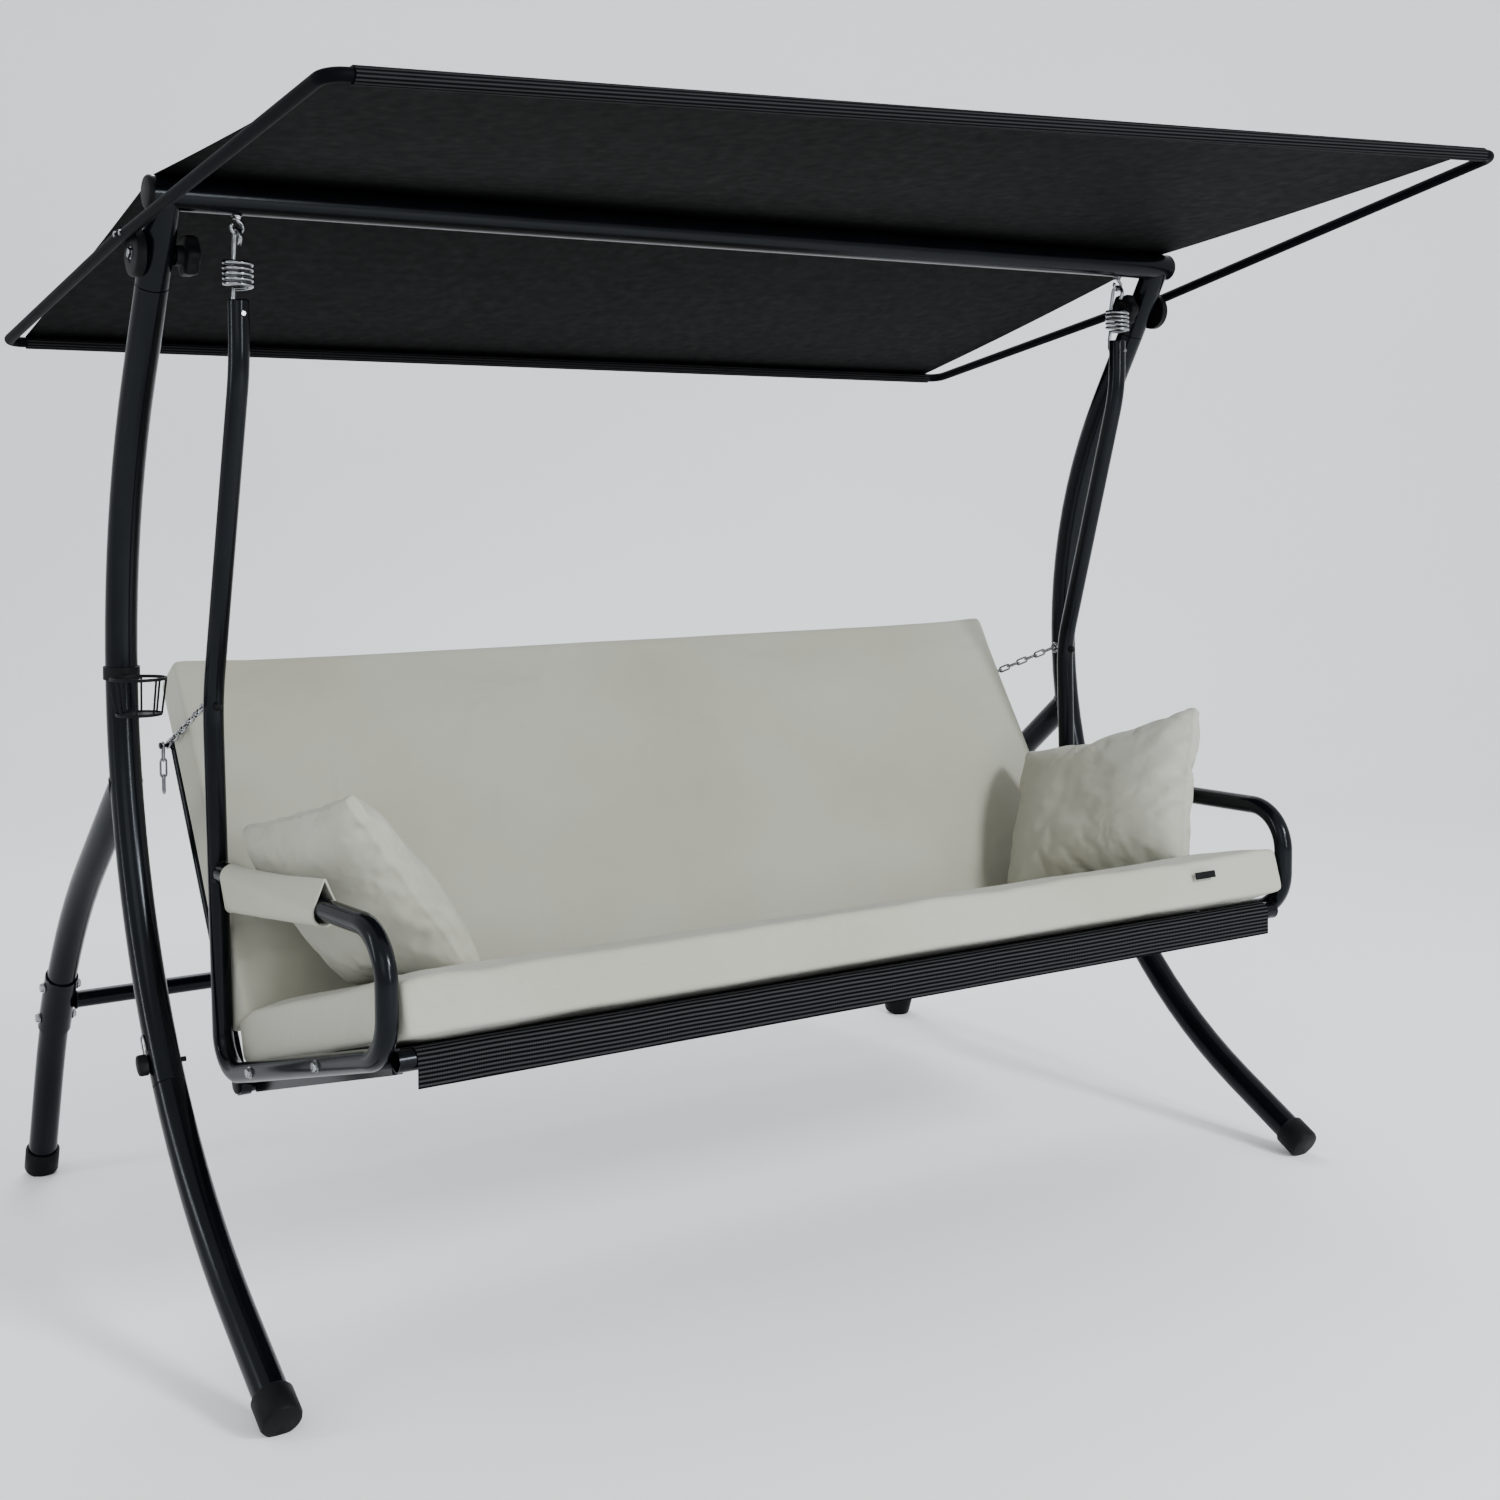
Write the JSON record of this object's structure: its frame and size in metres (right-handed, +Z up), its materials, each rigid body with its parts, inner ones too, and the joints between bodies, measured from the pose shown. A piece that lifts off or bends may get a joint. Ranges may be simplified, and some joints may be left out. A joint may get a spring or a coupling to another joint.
{
  "type": "garden swing bench",
  "caption": "Garden swing bench: sprung cushioned seat with a reclining back, hung from a bowed tube stand under a tilting fabric canopy.",
  "frame": {"origin": "middle of the bench's outline on the floor", "axes": "+Z up, +X along the crossbeam to the right of someone facing the bench, the bench faces -Y"},
  "size_m": [2.11, 1.6357, 1.8214],
  "materials": {
    "frame_paint": "gloss powder coat, anthracite",
    "black_plastic": "matt black",
    "zinc": "bright zinc plate",
    "mesh_fabric": "black woven mesh",
    "ecru_cloth": "natural ecru cotton"
  },
  "bodies": {
    "stand": {"crossbeam": "frame_paint", "beam_cap_left": "black_plastic", "beam_cap_right": "black_plastic", "front_leg_upper_left": "frame_paint", "front_leg_upper_right": "frame_paint", "front_leg_lower_left": "frame_paint", "front_leg_lower_right": "frame_paint", "rear_leg_upper_left": "frame_paint", "rear_leg_upper_right": "frame_paint", "rear_leg_lower_left": "frame_paint", "rear_leg_lower_right": "frame_paint", "rear_crossbar": "frame_paint", "rear_joint_bolt_upper_left": "zinc", "rear_joint_bolt_upper_right": "zinc", "rear_joint_bolt_lower_left": "zinc", "rear_joint_bolt_lower_right": "zinc", "wing_bolt_left": "black_plastic", "wing_bolt_right": "black_plastic", "foot_cap_front_left": "black_plastic", "foot_cap_front_right": "black_plastic", "foot_cap_rear_left": "black_plastic", "foot_cap_rear_right": "black_plastic", "cup_holder": "black_plastic", "beam_eyebolt_left": "zinc", "beam_eyebolt_right": "zinc"},
    "suspension": {"spring_left": "zinc", "spring_right": "zinc"},
    "swing": {"side_frame_left": "frame_paint", "side_frame_right": "frame_paint", "seat_front_rail": "frame_paint", "seat_rear_rail": "frame_paint", "seat_side_bar_left": "frame_paint", "seat_side_bar_right": "frame_paint", "seat_bolt_front_left": "zinc", "seat_bolt_front_right": "zinc", "seat_bolt_rear_left": "zinc", "seat_bolt_rear_right": "zinc", "seat_sling": "mesh_fabric", "chain_eyebolt_left": "zinc", "chain_eyebolt_right": "zinc", "chain_left": "zinc", "chain_right": "zinc", "arm_sleeve_left": "ecru_cloth", "arm_sleeve_right": "ecru_cloth", "seat_cushion": "ecru_cloth", "pillow_left": "ecru_cloth", "pillow_right": "ecru_cloth"},
    "backrest": {"backrest_hoop": "frame_paint", "backrest_cross_rail": "frame_paint", "backrest_sling": "mesh_fabric", "back_cushion": "ecru_cloth"},
    "chain_tail_left": {"chain_tail_left": "zinc"},
    "chain_tail_right": {"chain_tail_right": "zinc"},
    "canopy": {"canopy_front_hoop": "frame_paint", "canopy_rear_hoop": "frame_paint", "pivot_disc_left": "black_plastic", "pivot_disc_right": "black_plastic", "canopy_fabric": "mesh_fabric"},
    "star_knob_left": {"star_knob_left": "black_plastic"},
    "star_knob_right": {"star_knob_right": "black_plastic"}
  },
  "joints": [
    {"name": "swing_hinge", "type": "hinge", "parent": "stand", "child": "suspension", "pos_m": [0, -0.055, 1.638], "axis": [1, 0, 0], "range_deg": [-20, 20]},
    {"name": "seat_bounce", "type": "slide", "parent": "suspension", "child": "swing", "axis": [0, 0, -1], "range_m": [0, 0.025], "stiffness_N_per_m": 60000, "springref_m": -0.02, "deforming": ["spring_left", "spring_right"]},
    {"name": "recline", "type": "hinge", "parent": "swing", "child": "backrest", "pos_m": [0, 0.07, 0.325], "axis": [-1, 0, 0], "range_deg": [0, 9], "deforming": ["chain_left", "chain_right"]},
    {"name": "chain_tail_left_swing", "type": "hinge", "parent": "backrest", "child": "chain_tail_left", "pos_m": [-0.879, 0.38371, 0.82704], "axis": [1, 0, 0], "range_deg": [-35, 35]},
    {"name": "chain_tail_right_swing", "type": "hinge", "parent": "backrest", "child": "chain_tail_right", "pos_m": [0.879, 0.38371, 0.82704], "axis": [1, 0, 0], "range_deg": [-35, 35]},
    {"name": "canopy_tilt", "type": "hinge", "parent": "stand", "child": "canopy", "pos_m": [0, -0.013, 1.605], "axis": [1, 0, 0], "range_deg": [-10, 25], "deforming": ["canopy_fabric"]},
    {"name": "star_knob_left_turn", "type": "hinge", "parent": "canopy", "child": "star_knob_left", "pos_m": [-0.969, -0.013, 1.605], "axis": [1, 0, 0], "continuous": true},
    {"name": "star_knob_right_turn", "type": "hinge", "parent": "canopy", "child": "star_knob_right", "pos_m": [0.969, -0.013, 1.605], "axis": [1, 0, 0], "continuous": true}
  ]
}
